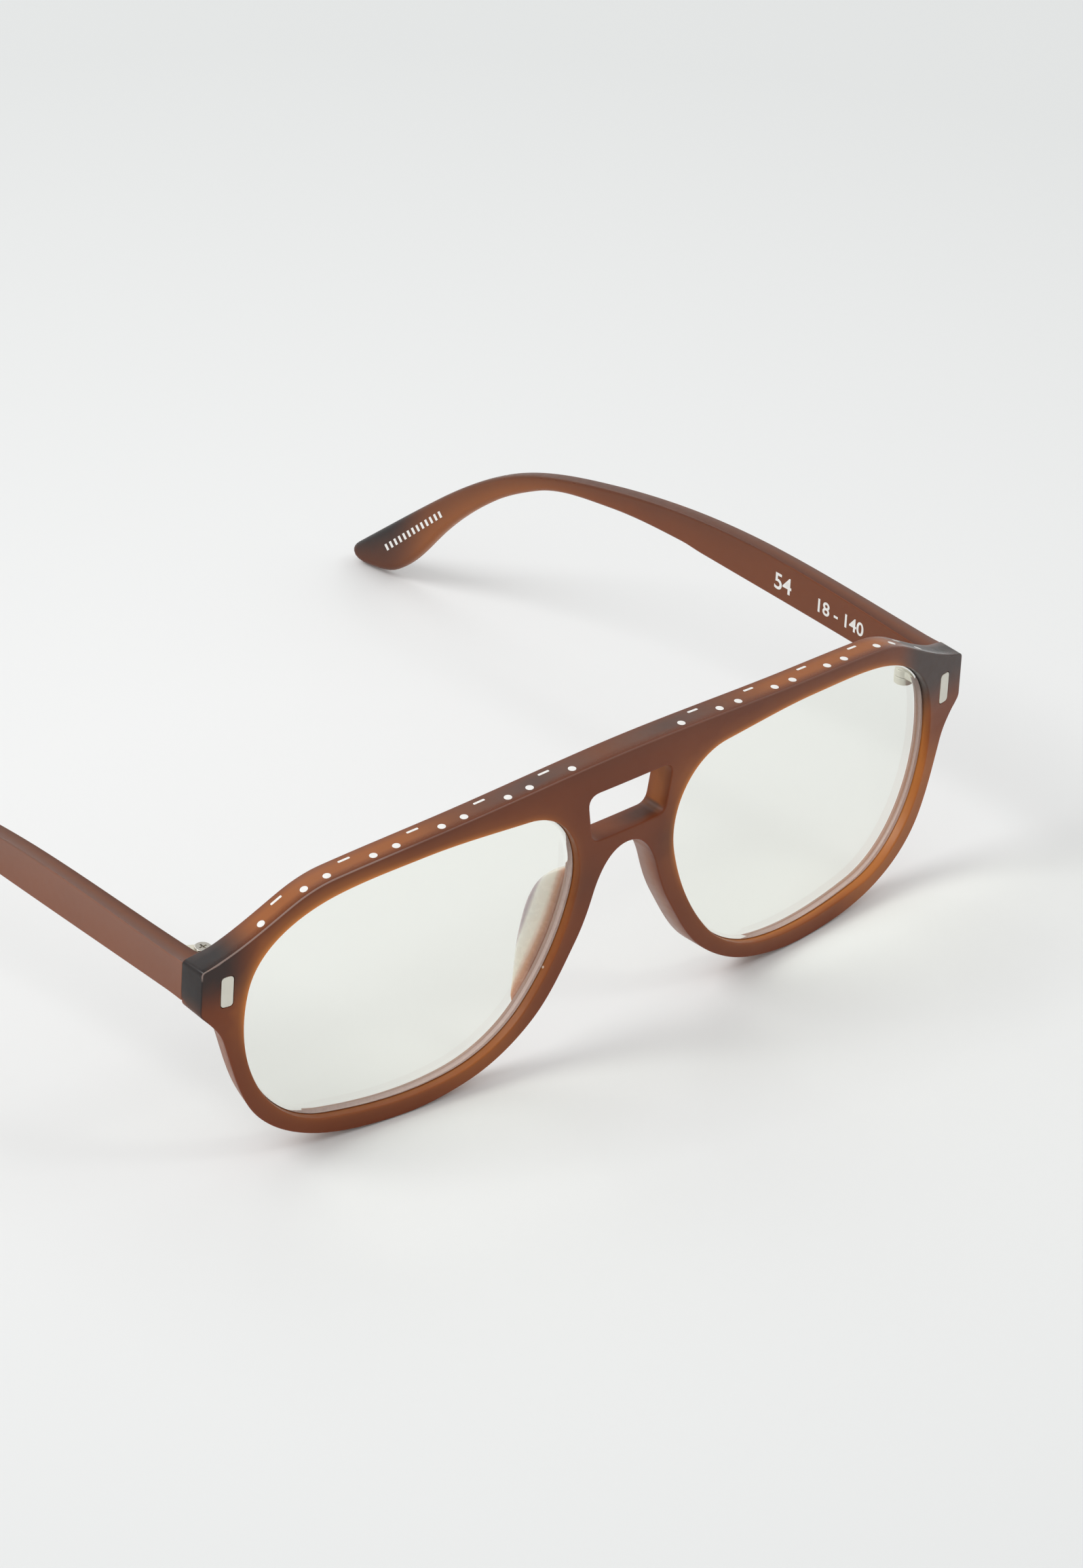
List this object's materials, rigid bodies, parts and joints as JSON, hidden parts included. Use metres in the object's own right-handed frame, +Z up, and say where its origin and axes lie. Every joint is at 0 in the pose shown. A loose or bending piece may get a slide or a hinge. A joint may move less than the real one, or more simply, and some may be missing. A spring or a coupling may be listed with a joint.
{
  "type": "full rim eyeglasses",
  "caption": "Full-rim navigator eyeglasses with a double bridge, clear lenses, glued nose pads and folding temples on knuckle hinges.",
  "frame": {"origin": "centre of the bounding box at the level that the rims and the temple tips stand on", "axes": "+X is the wearer's left, -Y is the way the front faces, the temples run along +Y, +Z is up"},
  "size_m": [0.139, 0.1344, 0.0456],
  "materials": {
    "frame_plastic": "satin translucent brown",
    "pad_plastic": "translucent brown fading to clear",
    "lens": "clear, polished",
    "plaque_metal": "satin, warm silver",
    "hinge_metal": "satin",
    "screw_metal": "satin"
  },
  "bodies": {
    "front": {"front_frame": "frame_plastic", "left_lens": "lens", "right_lens": "lens", "left_nose_pad": "pad_plastic", "right_nose_pad": "pad_plastic", "left_plaque": "plaque_metal", "right_plaque": "plaque_metal", "left_front_hinge_leaf": "hinge_metal", "right_front_hinge_leaf": "hinge_metal", "left_hinge_screw": "screw_metal", "right_hinge_screw": "screw_metal"},
    "left_temple_body": {"left_temple": "frame_plastic", "left_temple_hinge_leaf": "hinge_metal"},
    "right_temple_body": {"right_temple": "frame_plastic", "right_temple_hinge_leaf": "hinge_metal"}
  },
  "joints": [
    {"name": "left_temple_fold", "type": "hinge", "parent": "front", "child": "left_temple_body", "pos_m": [0.0637, -0.05224, 0.02978], "axis": [0, -0.0669, 0.9978], "range_deg": [0, 91]},
    {"name": "right_temple_fold", "type": "hinge", "parent": "front", "child": "right_temple_body", "pos_m": [-0.0637, -0.05224, 0.02978], "axis": [0, 0.0669, -0.9978], "range_deg": [0, 84]}
  ]
}
